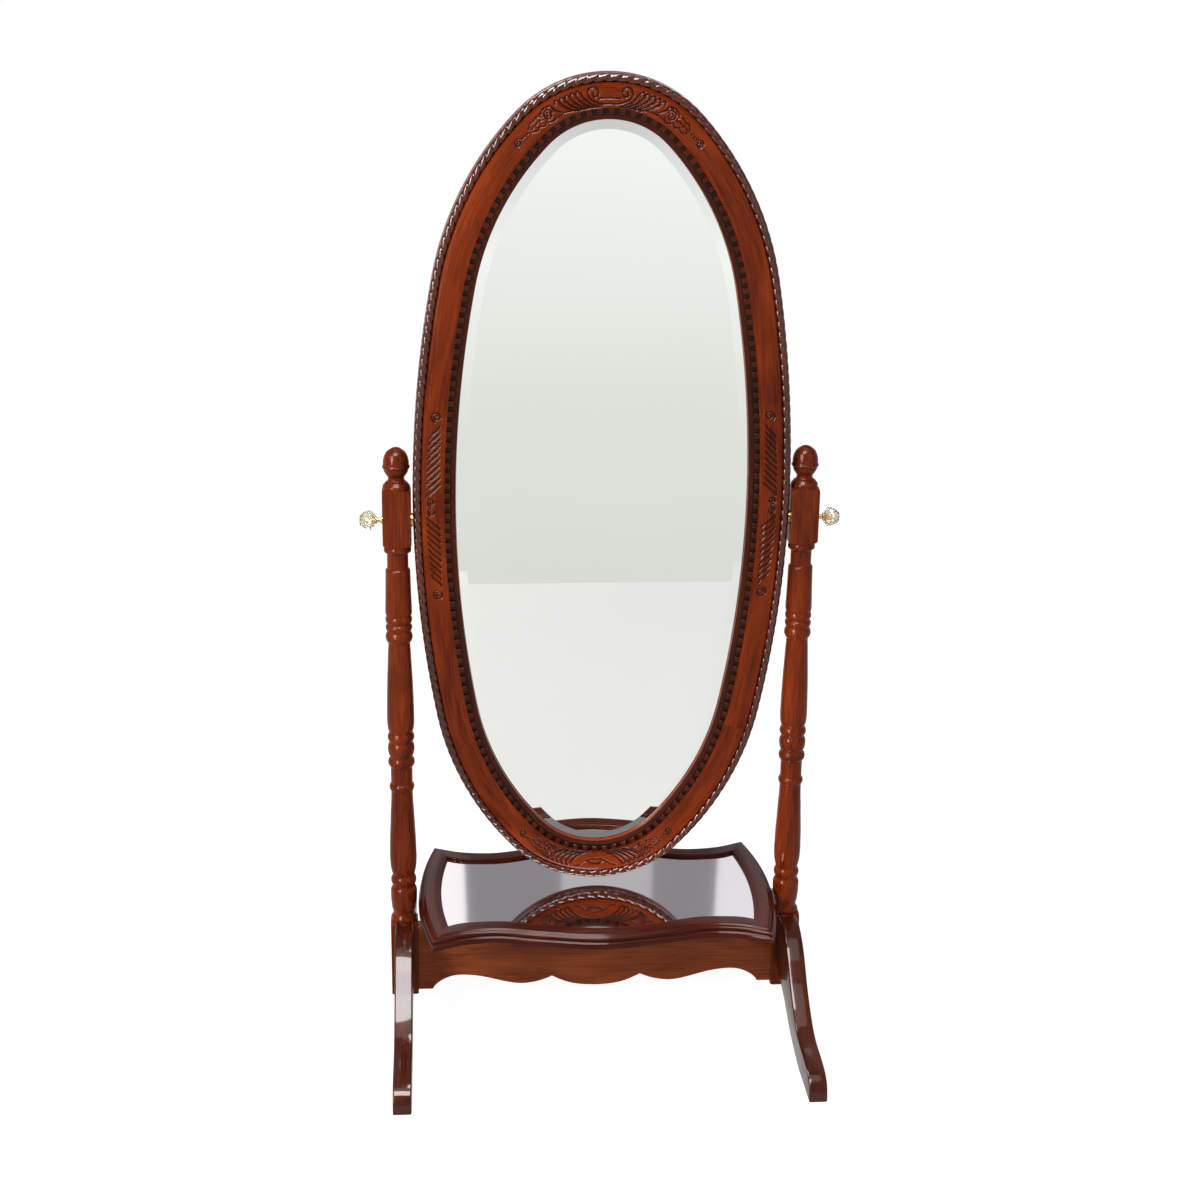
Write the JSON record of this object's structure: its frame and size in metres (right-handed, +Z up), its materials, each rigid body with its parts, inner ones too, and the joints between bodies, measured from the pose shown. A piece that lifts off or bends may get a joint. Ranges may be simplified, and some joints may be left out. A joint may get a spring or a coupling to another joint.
{
  "type": "cheval mirror",
  "caption": "Floor-standing cheval mirror: an oval bevelled plate in a rope-moulded wooden frame, tilting between turned posts on sabre legs.",
  "frame": {"origin": "on the floor, midway between the posts", "axes": "+Z up, -Y towards the front of the mirror, +X to the viewer's right"},
  "size_m": [0.747, 0.702, 1.5053],
  "materials": {
    "mahogany": "gloss lacquer",
    "beech": "bare",
    "board": "bare",
    "mirror_plate": "silvered",
    "crystal": "polished",
    "brass": "polished",
    "steel": "plain"
  },
  "bodies": {
    "stand": {"apron": "mahogany", "apron_dowels": "beech", "bearer_screws": "steel", "left_back_leg": "mahogany", "left_bearer": "mahogany", "left_front_leg": "mahogany", "left_post": "mahogany", "left_washer": "brass", "leg_dowels": "beech", "right_back_leg": "mahogany", "right_bearer": "mahogany", "right_front_leg": "mahogany", "right_post": "mahogany", "right_washer": "brass", "shelf_board": "board", "shelf_frame": "mahogany", "shelf_glass": "mirror_plate"},
    "mirror": {"oval_frame": "mahogany", "rope_moulding": "mahogany", "dentil_moulding": "mahogany", "mirror_glass": "mirror_plate", "back_board": "board", "turn_buttons": "brass", "turn_button_screws": "brass", "left_insert": "brass", "right_insert": "brass"},
    "left_clamp": {"left_knob": "crystal", "left_rod": "brass"},
    "right_clamp": {"right_knob": "crystal", "right_rod": "brass"}
  },
  "joints": [
    {"name": "mirror_tilt", "type": "hinge", "parent": "stand", "child": "mirror", "pos_m": [0, 0, 0.8305], "axis": [1, 0, 0], "range_deg": [-163.3, 156.6]},
    {"name": "left_clamp_turn", "type": "hinge", "parent": "mirror", "child": "left_clamp", "pos_m": [-0.349, 0, 0.8305], "axis": [-1, 0, 0], "range_deg": [0, 360]},
    {"name": "right_clamp_turn", "type": "hinge", "parent": "mirror", "child": "right_clamp", "pos_m": [0.349, 0, 0.8305], "axis": [1, 0, 0], "range_deg": [0, 360]}
  ]
}
